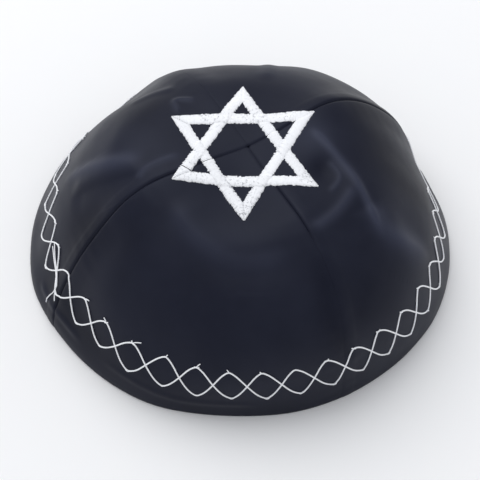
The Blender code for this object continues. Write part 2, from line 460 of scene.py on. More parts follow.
def past_seam(number, azimuth, tilt, radius):
    """How far round the cap a place lies past a seam, in metres; before the seam is negative."""
    turn = np.mod(azimuth - seam_azimuth(number, tilt) + 180.0, 360.0) - 180.0
    return np.radians(turn) * radius * np.sin(np.radians(tilt))


def seam_relief(azimuth, tilt, radius, reach):
    height = np.zeros_like(radius)
    for number, (_, side, lift, groove, pucker, deep_down_to) in enumerate(SEAM_LOOKS):
        past = past_seam(number, azimuth, tilt, radius)
        near = np.abs(past)
        opening = smooth_step(reach / (32.0 * MM))
        depth = 0.04 + 0.96 * smooth_step((deep_down_to * MM - reach) / (15.0 * MM))
        height -= (0.6 + 0.4 * opening) * depth * groove * MM * np.exp(-((near / SEAM_ROLL) ** 1.5))
        raised = smooth_step((ALLOWANCE + 1.5 * MM - past * side) / (2.5 * MM)) * (past * side > 0)
        rolled = 1.0 - np.exp(-((near / (1.2 * MM)) ** 2))
        height += opening * lift * MM * raised * rolled
        wave = np.sin(reach / (1.55 * MM) + 2.0 * np.sin(reach / (7.0 * MM) + number))
        wave += 0.6 * np.sin(reach / (0.93 * MM) + 1.7 * number)
        beside = np.exp(-((near / PUCKER_REACH) ** 2)) * (1.0 - np.exp(-((near / (2.0 * MM)) ** 2)))
        height += pucker * MM * wave * beside * opening
    return height


# %% [markdown]
# ## Folds
# The photograph's cap is soft and a little crumpled. The large dents are in the dome already.
# The finer ones are added here from two short tables, set on a grid of about 5 degrees and judged
# beside the photograph. A dent or swell is a smooth bump that is
# longer one way than the other, and a crease follows a line of places. A shelf is a crease whose
# one side lies higher than the other, which is how satin breaks over an edge beneath it.

# %% Dents, swells and creases
DENTS = (
    # name, azimuth, tilt, turn, across mm, along mm, height mm
    ("swell on the left gore", 175, 40, 10, 14, 7, 0.6),
    ("swell behind the star", 105, 30, 0, 12, 7, 0.5),
    ("pocket right of the star", 340, 25, 10, 6, 5, -0.8),
    ("swell below the pocket", 320, 35, 0, 9, 4, 0.5),
    ("hollow of the right gore", 350, 50, 0, 12, 14, -0.9),
    ("flat of the left gore", 160, 60, 0, 16, 12, -0.6),
)
CREASES = (
    # name, height mm, width mm, shelf mm, how much paler as painted sheen along the crease (below 0, painted
    # shade), places as (azimuth, tilt)
    ("shelf under the star", 0.45, 3.0, 0.7, 0.3, ((220, 30), (240, 35), (265, 40), (295, 40))),
    ("band across the left gore", 0.7, 3.0, 0.0, 0.6, ((175, 65), (180, 50), (185, 40), (190, 30))),
    ("lower edge of the band", -0.3, 2.5, 1.1, 0.0, ((185, 60), (190, 45), (200, 30))),
    ("pucker left of the star", 0.5, 1.4, 0.0, 0.4, ((200, 35), (195, 30), (190, 20))),
    ("streak right of the star", 0.6, 1.5, 0.0, 0.7, ((20, 20), (0, 25), (340, 35), (325, 50))),
    ("band down the right gore", 0.5, 4.0, -0.7, 0.5, ((335, 40), (330, 50), (340, 70))),
    ("lower side of the loop", 0.45, 1.8, 0.0, 0.5, ((340, 35), (320, 35), (300, 35))),
    ("rim of the pocket", 0.35, 1.0, 0.0, 0.4, ((350, 25), (340, 30), (325, 30))),
    ("crease above the star's left point", 0.6, 1.2, 0.0, 0.4, ((150, 25), (140, 30), (130, 25))),
    ("fold beside the front right seam", -0.7, 3.6, 0.0, -0.1, ((300, 40), (295, 60), (300, 75))),
    ("fold down the back gore", 0.5, 3.0, 0.0, 0.1, ((80, 30), (80, 45), (85, 55))),
    ("fold on the back left", 0.4, 2.4, 0.0, 0.1, ((130, 35), (140, 40), (150, 45))),
    ("hem crease, left", 0.5, 1.6, 0.0, 0.15, ((195, 85), (205, 84), (220, 84))),
    ("hem crease, front", 0.3, 1.6, 0.0, 0.0, ((225, 84), (250, 84), (275, 85))),
)


def plan(azimuth, reach):
    """A flat map of the cloth round the crown, true to scale along every line from it."""
    a = np.radians(azimuth)
    return np.stack([reach * np.cos(a), reach * np.sin(a)], axis=-1)


def bump_at(azimuth, tilt, radius, at_azimuth, at_tilt, turn, across_mm, along_mm):
    """A smooth bump of height 1, longer one way than the other, and turned."""
    turned = np.radians(np.mod(azimuth - at_azimuth + 180.0, 360.0) - 180.0)
    x = turned * radius * np.sin(np.radians(tilt))
    y = np.radians(tilt - at_tilt) * radius
    c, s = math.cos(math.radians(turn)), math.sin(math.radians(turn))
    u, v = (x * c + y * s) / (across_mm * MM), (y * c - x * s) / (along_mm * MM)
    return np.exp(-u * u - v * v)


def smooth_line(points, per_leg=8):
    """A Catmull-Rom line through points, with its ends carried on straight."""
    points = np.asarray(points, float)
    whole = np.vstack([2 * points[0] - points[1], points, 2 * points[-1] - points[-2]])
    share = np.linspace(0.0, 1.0, per_leg, endpoint=False)
    rows = []
    for k in range(1, len(whole) - 2):
        weights = cubic_weights(share)
        rows.append(sum(w[:, None] * whole[k - 1 + n] for n, w in enumerate(weights)))
    rows.append(points[-1:])
    return np.vstack(rows)


def crease_lines():
    made = []
    for name, height, width, shelf, paler, places in CREASES:
        azimuth, tilt = np.array(places, float).T
        reach, _ = reach_at(azimuth, tilt)
        made.append((height * MM, width * MM, shelf * MM, paler, smooth_line(plan(azimuth, reach), 5)))
    return made


CREASE_LINES = crease_lines()


def from_line(places, line):
    """Distance from a line, the side of it (+1 is left of its way), and the share along it."""
    best = np.full(len(places), 1e9)
    side = np.ones(len(places))
    along = np.zeros(len(places))
    for k in range(len(line) - 1):
        start, leg = line[k], line[k + 1] - line[k]
        off = places - start
        share = np.clip(off @ leg / (leg @ leg), 0.0, 1.0)
        gap = off - share[:, None] * leg
        distance = np.hypot(gap[:, 0], gap[:, 1])
        closer = distance < best
        best[closer] = distance[closer]
        side[closer] = np.sign(leg[0] * off[closer, 1] - leg[1] * off[closer, 0])
        along[closer] = (k + share[closer]) / (len(line) - 1)
    return best, side, along


def fold_relief(azimuth, tilt, radius, reach):
    height = np.zeros_like(radius)
    for _, *place, rise in DENTS:
        height += rise * MM * bump_at(azimuth, tilt, radius, *place)
    flat = plan(azimuth, reach).reshape(-1, 2)
    for rise, width, shelf, _, line in CREASE_LINES:
        low, high = line.min(0) - 4 * width, line.max(0) + 4 * width
        close = np.all((flat > low) & (flat < high), axis=1)
        distance, side, along = from_line(flat[close], line)
        ends = smooth_step(along / 0.2) * smooth_step((1.0 - along) / 0.2)
        bump = rise * np.exp(-((distance / width) ** 2))
        step = shelf * side * (1.0 - np.exp(-distance / width)) * np.exp(-((distance / (3 * width)) ** 2))
        height.reshape(-1)[close] += (bump + step) * ends
    return height


# %% Painted sheen and shade on the satin
PAINTED_SHEEN_AND_SHADE = (
    # name, azimuth, tilt, turn, across mm, along mm, how much paler as painted sheen, or darker below 0 as
    # painted shade
    ("left gore", 175, 45, 0, 12, 14, 0.15),
    ("under the star", 260, 35, 0, 20, 6, 0.15),
    ("left of the star", 180, 30, 0, 8, 7, 0.1),
    ("end of the right band", 335, 55, 0, 9, 13, 0.3),
    ("right of the star", 10, 20, 0, 7, 8, 0.3),
    ("pocket", 340, 25, 0, 5, 5, -0.15),
    ("back gore", 70, 40, 0, 26, 14, 0.1),
    ("front right", 310, 55, 0, 16, 20, -0.1),
    ("beside the front left seam", 200, 60, 0, 9, 20, -0.2),
    ("below the front left seam", 220, 50, 0, 9, 22, -0.1),
    ("left back", 150, 40, 0, 14, 14, -0.1),
    ("right back", 30, 45, 0, 20, 14, -0.3),
    ("right flank", 0, 55, 0, 10, 22, -0.3),
    ("left hem", 215, 80, 0, 26, 9, -0.2),
    ("front hem", 270, 85, 0, 60, 9, -0.1),
)


def painted_sheen_and_shade_at(azimuth, tilt):
    radius = dome_radius(azimuth, tilt)
    paler = sum(amount * bump_at(azimuth, tilt, radius, *place) for _, *place, amount in PAINTED_SHEEN_AND_SHADE)
    flat = plan(azimuth, reach_at(azimuth, tilt)[0])
    # Each crease also paints sheen along its line, or painted shade where its amount is below 0.
    for _, width, _, amount, line in CREASE_LINES:
        distance, _, along = from_line(flat, line)
        ends = smooth_step(along / 0.2) * smooth_step((1.0 - along) / 0.2)
        paler += amount * ends * np.exp(-((distance / (1.3 * width)) ** 2))
    return paler


# %% [markdown]
# ## Soft wrinkles everywhere
# Cloth is never a perfect dome between its folds. A few dozen long waves, each with its own way,
# length and start, add up to a gentle unevenness of a fifth of a millimetre. The numbers come
# from a seeded generator, so the cap is the same each time.

# %% Seeded wrinkles
WRINKLES = 34
WRINKLE_STEEPNESS = 0.0011
generator = np.random.default_rng(613)
wrinkle_ways = generator.normal(size=(WRINKLES, 3))
wrinkle_ways /= np.linalg.norm(wrinkle_ways, axis=1, keepdims=True)
wrinkle_lengths = generator.uniform(14.0, 46.0, WRINKLES) * MM
wrinkle_starts = generator.uniform(0.0, 2.0 * math.pi, WRINKLES)


def wrinkle_relief(points):
    height = np.zeros(points.shape[:-1])
    for way, length, start in zip(wrinkle_ways, wrinkle_lengths, wrinkle_starts):
        height += length * np.sin(points @ way * (2.0 * math.pi / length) + start)
    return height * WRINKLE_STEEPNESS


def cloth_height(azimuth, tilt):
    """Everything that lifts the cloth off the smooth dome, in metres."""
    azimuth, tilt = np.broadcast_arrays(np.asarray(azimuth, float), np.asarray(tilt, float))
    radius = dome_radius(azimuth, tilt)
    reach, _ = reach_at(azimuth, tilt)
    height = seam_relief(azimuth, tilt, radius, reach) + fold_relief(azimuth, tilt, radius, reach)
    return height + wrinkle_relief(dome_point(azimuth, tilt))


# %% [markdown]
# ## One gore
# A gore is a sheet that starts as a point at the crown. A square grid with one corner on the crown
# fits it well: two sides of the square lie along the two seams, and the other two are the hem. No
# cell is a sliver, as they would be if every column ran into the crown. The columns crowd towards
# the seams, where the cloth rolls down within a millimetre. The sheet is closed into a shell: an
# inner sheet one wall below, a rolled edge at the hem, and narrow walls down the seams.

# %% Grid of a gore
GORE_CELLS = 150
CROWDING = 0.72
WALL = 1.0 * MM
HEM_ARCS = 6
HEM_RADIUS = 85.0 * MM


def gore_places(number):
    """Azimuth and tilt for each corner of the grid."""
    line = np.linspace(0.0, 1.0, GORE_CELLS + 1)
    u, v = np.meshgrid(line, line, indexing="ij")
    outer = np.maximum(u, v)
    inner = np.minimum(u, v)
    share = np.divide(inner, outer, out=np.zeros_like(outer), where=outer > 0)
    share = share * (1.0 - CROWDING) + CROWDING * share ** 2
    share = np.where(u >= v, 0.5 * share, 1.0 - 0.5 * share)
    hem_tilt = HEM_TILT - math.degrees(0.5 * WALL / HEM_RADIUS)
    tilt = outer * hem_tilt
    start, end = seam_azimuth(number - 1, tilt), seam_azimuth(number, tilt)
    return start + share * (end - start), tilt


def turn_in_height(azimuth, tilt):
    """On the inside, the turned-in hem and the seam allowances are one more layer of cloth."""
    radius = dome_radius(azimuth, tilt)
    reach, whole = reach_at(azimuth, tilt)
    layer = 0.35 * MM * smooth_step((reach - (whole - 9.5 * MM)) / (0.6 * MM))
    for number, (_, side, *_) in enumerate(SEAM_LOOKS):
        past = past_seam(number, azimuth, tilt, radius) * side
        under = smooth_step(past / (0.4 * MM)) * smooth_step((6.0 * MM - past) / (0.5 * MM))
        layer = np.maximum(layer, 0.30 * MM * under * smooth_step(reach / (8.0 * MM)))
    return layer


def grid_quads(size):
    """Faces of a square grid, with the cells on its diagonal split from the crown outwards."""
    i, j = np.meshgrid(np.arange(size), np.arange(size), indexing="ij")
    i, j = i.ravel(), j.ravel()
    row = size + 1
    a, b, c, d = i * row + j, (i + 1) * row + j, (i + 1) * row + j + 1, i * row + j + 1
    quads = np.stack([a, b, c, d], axis=1)
    diagonal = i == j
    faces = quads[~diagonal].tolist()
    for w, x, y, z in quads[diagonal].tolist():
        faces += [[w, x, y], [w, y, z]]
    return faces


def rim_of_grid(size):
    """The grid's border, from the crown down one seam, along the hem, and up the other seam."""
    row = size + 1
    down = [i * row for i in range(size + 1)]
    hem = [size * row + j for j in range(1, size + 1)] + [i * row + size for i in range(size - 1, -1, -1)]
    up = [j for j in range(size - 1, 0, -1)]
    return down, hem, up


# %% Build the gores
def build_gore(number):
    name = f"satin_{GORES[number]}"
    azimuth, tilt = gore_places(number)
    a, t = azimuth.ravel(), tilt.ravel()
    normal = dome_normal(a, t)
    height = cloth_height(a, t)
    face = dome_point(a, t) + normal * height[:, None]
    depth = 0.6 * np.minimum(height, 0.0) - WALL - turn_in_height(a, t)
    back = dome_point(a, t) + normal * depth[:, None]
    size = GORE_CELLS
    count = len(face)
    down, hem, up = rim_of_grid(size)
    hem_line = [down[-1]] + hem
    arcs = []
    for k in range(1, HEM_ARCS):
        angle = math.pi * k / HEM_ARCS
        outer, inner = face[hem_line], back[hem_line]
        middle, half = 0.5 * (outer + inner), 0.5 * (outer - inner)
        drop = np.stack([np.zeros(len(hem_line)), np.zeros(len(hem_line)), -middle[:, 2]], axis=1)
        arcs.append(middle + half * math.cos(angle) + drop * math.sin(angle))
    points = np.vstack([face, back] + arcs)
    points[:, 2] = np.maximum(points[:, 2], 0.0)
    ring = len(hem_line)
    faces = grid_quads(size)
    outer_count = len(faces)
    faces += [[count + k for k in reversed(f)] for f in grid_quads(size)]
    rows = [hem_line] + [[2 * count + r * ring + k for k in range(ring)] for r in range(HEM_ARCS - 1)]
    rows.append([count + k for k in hem_line])
    for upper, lower in zip(rows[:-1], rows[1:]):
        faces += [[upper[k + 1], upper[k], lower[k], lower[k + 1]] for k in range(ring - 1)]
    for line in (down, [hem[-1]] + up + [0]):
        faces += [[p, count + p, count + q, q] for p, q in zip(line[:-1], line[1:])]
    faces.append([row[0] for row in reversed(rows)])
    faces.append([row[-1] for row in rows])
    middle = math.radians(0.5 * (seam_azimuth(number - 1, 0.0) + seam_azimuth(number, 0.0)))
    points += np.array([math.cos(middle), math.sin(middle), 0.0]) * 0.03 * MM
    mesh = bpy.data.meshes.new(name)
    mesh.from_pydata(points.tolist(), [], faces)
    mesh.materials.append(SATIN)
    mesh.materials.append(SATIN_WRONG_SIDE)
    inside = np.zeros(len(faces), dtype=np.int32)
    inside[outer_count:2 * outer_count] = 1
    mesh.polygons.foreach_set("material_index", inside)
    weave = mesh.attributes.new("weave_place", "FLOAT_VECTOR", "POINT")
    reach, _ = reach_at(a, t)
    turn = np.radians(a) - middle
    across = turn * dome_radius(a, t) * np.sin(np.radians(t))
    place = np.stack([across, reach, np.zeros(count)], axis=1)
    extra = np.tile(place[hem_line], (HEM_ARCS - 1, 1))
    weave.data.foreach_set("vector", np.vstack([place, place, extra]).ravel())
    # Painted sheen and painted shade for each corner of the outer face and the hem.
    paler = painted_sheen_and_shade_at(a, t)
    painted_sheen_and_shade = mesh.attributes.new("painted_sheen_and_shade", "FLOAT", "POINT")
    along_hem = np.tile(paler[hem_line], HEM_ARCS - 1)
    painted_sheen_and_shade.data.foreach_set("value", np.concatenate([paler, 0.0 * paler, along_hem]))
    mesh.validate()
    mesh.shade_smooth()
    mesh.set_sharp_from_angle(angle=math.radians(60.0))
    gore = bpy.data.objects.new(name, mesh)
    bpy.context.scene.collection.objects.link(gore)
    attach(gore, "root")
    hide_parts(GORES[number])
    return gore


gores = [build_gore(number) for number in range(len(GORES))]
for gore in gores:
    print(gore.name, "faces:", len(gore.data.polygons))

# %% [markdown]
# ## Embroidery thread
# Machine embroidery is sewn with bright trilobal polyester, two plies twisted together and about
# 0.4 mm thick. It is white with a cool cast and shines along its length. A bump alone could stand
# for the threads, but at the edge of the star their ends make fine teeth against the dark satin,
# so each one is modelled. Grey patches on the thread, at listed places, are kept on each corner as
# "thread_place": metres along the thread, share of a turn round it, and how grey it is.

# %% Thread
THREAD_WHITE = "#fafbfe"
THREAD_GREY = "#62656f"
PLY_PITCH = 0.9 * MM


def make_thread(name, grey_colour):
    material, tree, shader = new_material(name)
    place = node(tree, "ShaderNodeAttribute", {"attribute_name": "thread_place"}).outputs["Vector"]
    parts = node(tree, "ShaderNodeSeparateXYZ", Vector=place)
    body = node(tree, "ShaderNodeTexCoord").outputs["Object"]
    mottle = node(tree, "ShaderNodeTexNoise", {"Scale": 1000.0, "Detail": 4.0, "Roughness": 0.7}, Vector=body)
    # The thread's colour goes towards grey where the mottle is high, by each corner's grey share.
    patch = node(
        tree, "ShaderNodeMapRange", {"From Min": 0.53, "From Max": 0.66},
        Value=mottle.outputs["Fac"],
    )
    grey_share = node(
        tree, "ShaderNodeMath", {"operation": "MULTIPLY", "use_clamp": True},
        i0=patch.outputs["Result"], i1=parts.outputs["Z"],
    )
    colour = node(
        tree, "ShaderNodeMix", {"data_type": "RGBA", 6: linear(THREAD_WHITE), 7: linear(grey_colour)},
        i0=grey_share.outputs[0],
    )
    tree.links.new(colour.outputs[2], shader.inputs["Base Color"])
    turns = node(tree, "ShaderNodeMath", {"operation": "MULTIPLY_ADD", 1: 1.0 / PLY_PITCH},
                 i0=parts.outputs["X"], i2=parts.outputs["Y"])
    angle = node(tree, "ShaderNodeMath", {"operation": "MULTIPLY", 1: 4.0 * math.pi}, i0=turns.outputs[0])
    plies = node(tree, "ShaderNodeMath", {"operation": "SINE"}, i0=angle.outputs[0])
    bump = node(tree, "ShaderNodeBump", {"Strength": 0.35, "Distance": 0.04 * MM}, Height=plies.outputs[0])
    tree.links.new(bump.outputs["Normal"], shader.inputs["Normal"])
    shader.inputs["Roughness"].default_value = 0.38
    shader.inputs["IOR"].default_value = POLYESTER_IOR
    shader.inputs["Sheen Weight"].default_value = 0.35
    shader.inputs["Sheen Roughness"].default_value = 0.4
    return material


THREAD = make_thread("silver_white_polyester_thread", THREAD_GREY)
print("material:", THREAD.name)

# %% [markdown]
# ## Tubes of thread
# Every thread is a tube that is swept along places on the cloth. A curve object with a bevel would
# do for one of them, but not for a thousand stitches that have to be one piece, so the rings are
# worked out together. Each ring stands across its thread and is turned by the cloth's normal.

# %% Sweep many threads at once
def sweep(name, centres, normals, radii, grey_share, flatten=1.0, sides=6, plies=0.0):
    """One mesh of many tubes, from (threads, rings) places, normals, radii and grey shares."""
    threads, rings, _ = centres.shape
    tangent = np.gradient(centres, axis=1)
    tangent /= np.linalg.norm(tangent, axis=-1, keepdims=True) + 1e-12
    across = np.cross(normals, tangent)
    across /= np.linalg.norm(across, axis=-1, keepdims=True) + 1e-12
    upward = np.cross(tangent, across)
    gaps = np.linalg.norm(np.diff(centres, axis=1), axis=-1)
    length = np.concatenate([np.zeros((threads, 1)), np.cumsum(gaps, axis=1)], axis=1)
    turn = 2.0 * math.pi * np.arange(sides) / sides
    twist = math.pi * length[..., None] / PLY_PITCH
    swell = 1.0 + plies * np.cos(2.0 * (turn[None, None, :] - twist))
    radius = radii[..., None] * swell
    ring = (
        centres[:, :, None, :]
        + (radius * np.cos(turn))[..., None] * across[:, :, None, :]
        + (radius * np.sin(turn) * flatten)[..., None] * upward[:, :, None, :]
    )
    index = np.arange(threads * rings * sides).reshape(threads, rings, sides)
    after = np.roll(index, -1, axis=2)
    quads = np.stack([index[:, :-1], after[:, :-1], after[:, 1:], index[:, 1:]], axis=-1).reshape(-1, 4)
    starts = index[:, 0, ::-1]
    ends = index[:, -1, :]
    faces = quads.tolist() + starts.tolist() + ends.tolist()
    mesh = bpy.data.meshes.new(name)
    mesh.from_pydata(ring.reshape(-1, 3).tolist(), [], faces)
    mesh.materials.append(THREAD)
    along = np.broadcast_to(length[..., None], index.shape)
    share = np.broadcast_to(np.arange(sides) / sides, index.shape)
    grey_rings = np.broadcast_to(grey_share[..., None], index.shape)

    def corners(part, shift):
        return np.stack([part[:, :-1], shift[:, :-1], shift[:, 1:], part[:, 1:]], axis=-1).reshape(-1)

    values = [corners(along, along), corners(share, share + 1.0 / sides), corners(grey_rings, grey_rings)]
    caps = [np.zeros(2 * threads * sides)] * 2 + [np.repeat(grey_share.mean(axis=1), 2 * sides)]
    place = np.stack([np.concatenate([v, c]) for v, c in zip(values, caps)], axis=1)
    mesh.attributes.new("thread_place", "FLOAT_VECTOR", "CORNER").data.foreach_set("vector", place.ravel())
    mesh.shade_smooth()
    mesh.set_sharp_from_angle(angle=math.radians(70.0))
    piece = bpy.data.objects.new(name, mesh)
    bpy.context.scene.collection.objects.link(piece)
    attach(piece, "root")
    print(name, "threads:", threads, "faces:", len(faces))
    return piece


# %% [markdown]
# ## The star
# The star is two triangles of satin stitch. A satin stitch goes straight across its bar, from edge
# to edge, and the next lies right beside it. At a point the stitches of two bars meet on the
# mitre. The triangle that points down was sewn last, so it lies over the other one at all six
# crossings. The CAD star gives the six points, each moved by the little that the hoop pulled it.
# Those shifts were worked out outside this script, from the points' places in the photograph.

# %% Points of the star on the flat plan
STAR_POINTS = (
    # point, azimuth, pulled right mm, pulled back mm
    ("top", 90, 0.1, 1.1),
    ("left top", 150, -0.1, 0.4),
    ("left bottom", 210, 0.2, 0.3),
    ("bottom", 270, 0.5, 0.0),
    ("right bottom", 330, 0.6, 0.1),
    ("right top", 30, -0.8, 0.9),
)


def star_plan():
    vertices = np.array([v.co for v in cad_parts["star_embroidery"].data.vertices])
    off = vertices - FOOT
    azimuth = np.degrees(np.arctan2(off[:, 1], off[:, 0]))
    tilt = np.degrees(np.arctan2(np.hypot(off[:, 0], off[:, 1]), off[:, 2]))
    flat = plan(azimuth, reach_at(azimuth, tilt)[0])
    middle = 0.5 * (flat.min(0) + flat.max(0))
    points = {}
    for name, way, right, back in STAR_POINTS:
        a = math.radians(way)
        farthest = flat[np.argmax((flat - middle) @ [math.cos(a), math.sin(a)])]
        points[name] = farthest + np.array([right, back]) * MM
    return points


STAR = star_plan()
for name, place in STAR.items():
    print("star point", name, "mm:", np.round(place / MM, 1))

# %% Stitches of the star
BAR_WIDTH = 4.3 * MM
TOP_BAR_WIDTH = 4.9 * MM
STITCH_PITCH = 0.36 * MM
STITCH_RADIUS = 0.24 * MM
STITCH_CROWN = 0.62 * MM
STITCH_LEAN = 0.06
EDGE_TEETH = 0.24 * MM
TOOTH = 0.65 * MM
CROSSING_LIFT = 0.42 * MM
PARTED_BY = GORES.index("gore_left")
PARTING = 0.16 * MM
STITCH_RINGS = np.array([0.0, 0.05, 0.13, 0.28, 0.5, 0.72, 0.87, 0.95, 1.0])
TRIANGLES = (
    # name, corners anticlockwise, then for the bars from each corner to the next their widths,
    # and how far the hoop pulled their middles inwards, in mm
    ("up", ("top", "left bottom", "right bottom"), (BAR_WIDTH, BAR_WIDTH, BAR_WIDTH), (0.3, -1.0, 1.6)),
    ("down", ("bottom", "right top", "left top"), (BAR_WIDTH, TOP_BAR_WIDTH, BAR_WIDTH), (0.1, -0.6, -1.2)),
)
stitch_random = np.random.default_rng(18)


def across_way(way):
    return np.array([-way[1], way[0]])


def inner_corner(before, corner, after, width_in, width_out):
    """Where the inner edges of two bars meet."""
    way_in = (corner - before) / np.linalg.norm(corner - before)
    way_out = (after - corner) / np.linalg.norm(after - corner)
    matrix = np.array([across_way(way_in), across_way(way_out)])
    return corner + np.linalg.solve(matrix, np.array([width_in, width_out]))


def bars_of(corners, widths, pulls):
    """Each bar as start, way, length, width, how steep its two mitres are, and its pull."""
    count = len(corners)
    inner = [
        inner_corner(corners[k - 1], corners[k], corners[(k + 1) % count], widths[k - 1], widths[k])
        for k in range(count)
    ]
    bars = []
    for k in range(count):
        start, end = corners[k], corners[(k + 1) % count]
        length = float(np.linalg.norm(end - start))
        way = (end - start) / length
        rise_start = widths[k] / float((inner[k] - start) @ way)
        rise_end = widths[k] / float((end - inner[(k + 1) % count]) @ way)
        bars.append((start, way, length, widths[k], rise_start, rise_end, pulls[k] * MM))
    return bars


def pulled(along, length, pull):
    """How far a bar that is pulled at its middle lies inwards, at some places along it."""
    share = np.clip(along / length, 0.0, 1.0)
    return 4.0 * pull * share * (1.0 - share)


BARS = {
    name: bars_of([STAR[c] for c in corners], widths, pulls)
    for name, corners, widths, pulls in TRIANGLES
}
for name, bars in BARS.items():
    print("triangle", name, "bar lengths, mm:", [round(bar[2] / MM, 1) for bar in bars])


def over_bars(places, bars):
    """How much of a place lies on any of some bars, from 0 beside them to 1 on them."""
    most = np.zeros(places.shape[:-1])
    for start, way, length, width, _, _, pull in bars:
        off = places - start
        along = off @ way
        middle = np.abs(off @ across_way(way) - pulled(along, length, pull) - 0.5 * width)
        on = smooth_step((0.5 * width + 0.7 * MM - middle) / (1.0 * MM))
        on = on * smooth_step((along + 0.5 * MM) / MM) * smooth_step((length + 0.5 * MM - along) / MM)
        most = np.maximum(most, on)
    return most


def parted(flat):
    """Whether a stitch would lie in the valley of the front left seam, which parts the stitches."""
    azimuth = np.degrees(np.arctan2(flat[..., 1], flat[..., 0]))
    tilt = tilt_at_reach(azimuth, np.hypot(flat[..., 0], flat[..., 1]))
    return np.abs(past_seam(PARTED_BY, azimuth, tilt, dome_radius(azimuth, tilt))) < PARTING


def stitches_of(bar):
    """The two ends of each stitch of a bar, on the flat plan, and how full its crown is."""
    start, way, length, width, rise_start, rise_end, pull = bar
    count = int(length / STITCH_PITCH)
    x = (np.arange(count) + 0.5) * length / count + stitch_random.normal(0.0, 0.02 * MM, count)
    span = np.minimum(width, np.minimum(x * rise_start, (length - x) * rise_end))
    kept = span > 0.15 * MM
    x, span = x[kept], span[kept]
    tooth = (x / TOOTH).astype(int)
    free = np.minimum(span / width, 1.0)
    out = EDGE_TEETH * stitch_random.uniform(-0.8, 1.0, (2, tooth[-1] + 1))[:, tooth] * free
    out += stitch_random.normal(0.0, 0.06 * MM, out.shape) * free
    low = -out[0]
    high = span + np.where(span >= 0.98 * width, out[1] + 0.1 * MM, 0.28 * MM * free)
    inwards = pulled(x, length, pull)
    middle = start + np.outer(x, way) + np.outer(inwards + 0.5 * span, across_way(way))
    whole = ~parted(middle)
    x, low, high, span, inwards = (part[whole] for part in (x, low, high, span, inwards))
    ends = [
        start + np.outer(x + STITCH_LEAN * y, way) + np.outer(y + inwards, across_way(way))
        for y in (low, high)
    ]
    return ends[0], ends[1], np.minimum(span / width, 1.0) ** 0.5


def on_cloth(flat, lift, share=0.5):
    """Lays plan places on the cloth, bridging over its valleys and puckers."""
    azimuth = np.degrees(np.arctan2(flat[..., 1], flat[..., 0]))
    reach = np.hypot(flat[..., 0], flat[..., 1])
    tilt = tilt_at_reach(azimuth.ravel(), reach.ravel()).reshape(azimuth.shape)
    height = cloth_height(azimuth, tilt)
    bridge = np.maximum(height * share, height - 0.2 * MM)
    normal = dome_normal(azimuth, tilt)
    return dome_point(azimuth, tilt) + normal * (bridge + lift)[..., None], normal


# %% Grey patches on the star
GREY_PATCHES = (
    # patch, right mm, back mm, radius mm, how grey
    ("right of the top point", 3.0, 27.5, 4.0, 1.0),
    ("middle of the top bar", 2.0, 13.5, 6.0, 0.7),
    ("left of the top bar", -14.0, 14.5, 6.0, 0.8),
    ("right of the top bar", 14.0, 14.5, 5.0, 0.6),
    ("middle of the bottom bar", -2.0, -17.0, 8.0, 0.9),
    ("lower point", 0.0, -29.0, 6.0, 1.0),
    ("left point's lower bar", -21.0, -13.0, 6.0, 0.8),
    ("right point's lower bar", 23.0, -15.0, 4.0, 0.7),
)


def grey_share_at(flat):
    grey_share = np.full(flat.shape[:-1], 0.08)
    for _, right, back, radius, amount in GREY_PATCHES:
        away = np.linalg.norm(flat - np.array([right, back]) * MM, axis=-1) / (radius * MM)
        grey_share = np.maximum(grey_share, amount * np.exp(-away ** 2))
    return grey_share


def build_star():
    centres, normals, radii, grey_share = [], [], [], []
    for triangle, bars in BARS.items():
        for bar in bars:
            low, high, fullness = stitches_of(bar)
            share = STITCH_RINGS[None, :, None]
            flat = low[:, None, :] * (1.0 - share) + high[:, None, :] * share
            arch = np.sin(math.pi * STITCH_RINGS) ** 0.55
            lift = STITCH_CROWN * arch[None, :] * fullness[:, None] - 0.1 * MM
            crossing = over_bars(flat, BARS["up" if triangle == "down" else "down"])
            if triangle == "down":
                lift = lift + CROSSING_LIFT * crossing
            else:
                lift = lift - 0.12 * MM * crossing
            lift = lift + stitch_random.normal(0.0, 0.02 * MM, (len(low), 1))
            point, normal = on_cloth(flat, lift)
            slim = 1.0 - 0.25 * (1.0 - arch)
            centres.append(point)
            normals.append(normal)
            fine = 0.55 + 0.45 * fullness[:, None]
            radii.append(STITCH_RADIUS * slim * fine)
            grey_share.append(grey_share_at(flat) * stitch_random.uniform(0.7, 1.3, (len(low), 1)))
    parts = [np.concatenate(part) for part in (centres, normals, radii, grey_share)]
    star = sweep("star_satin_stitches", *parts, flatten=0.85, sides=6)
    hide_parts("star_embroidery")
    return star


star = build_star()

# %% [markdown]
# ## The zigzag border
# Two threads run round the cap above the hem and cross each other, so that they leave a row of
# diamonds. The cap was fed through by hand, so the stitches are longer on the left than on the
# right, the border climbs a little at the back left, and no two diamonds are quite alike. Three
# runs with a step each place them, a short course gives their heights, and a seeded generator
# adds the unevenness. The hidden ones behind are spaced evenly.
# One thread takes the inner peak of a diamond and the outer peak of the next, the other thread
# the opposite, so their crossings come by themselves.

# %% Diamonds of the border
FIRST_DIAMOND = 152
STITCH_RUNS = (
    # run, how many diamonds, degrees from one to the next
    ("left", 9, 10.5),
    ("front", 5, 9.5),
    ("right", 8, 9.0),
)
BORDER_COURSE = (
    # azimuth, outer peaks and inner peaks in mm above the hem, degrees that the inner ones lie ahead
    (150, 22, 38, 4),
    (165, 15, 34, 4),
    (185, 15, 31, 3),
    (195, 16, 29, 0),
    (250, 15, 30, 0),
    (310, 13, 30, -3),
    (370, 15, 30, 0),
)
UNEVEN = 0.6
DIAMOND_COUNT = 36
HIDDEN_OUTER, HIDDEN_INNER = 14.5, 29.0
BORDER_THREAD_RADIUS = 0.32 * MM
BORDER_STEP = 0.35 * MM
LEG_SHARES = (0.0, 0.15, 0.3, 0.5, 0.7, 0.85)
PEAK_ROUNDNESS = 0.75
border_random = np.random.default_rng(36)


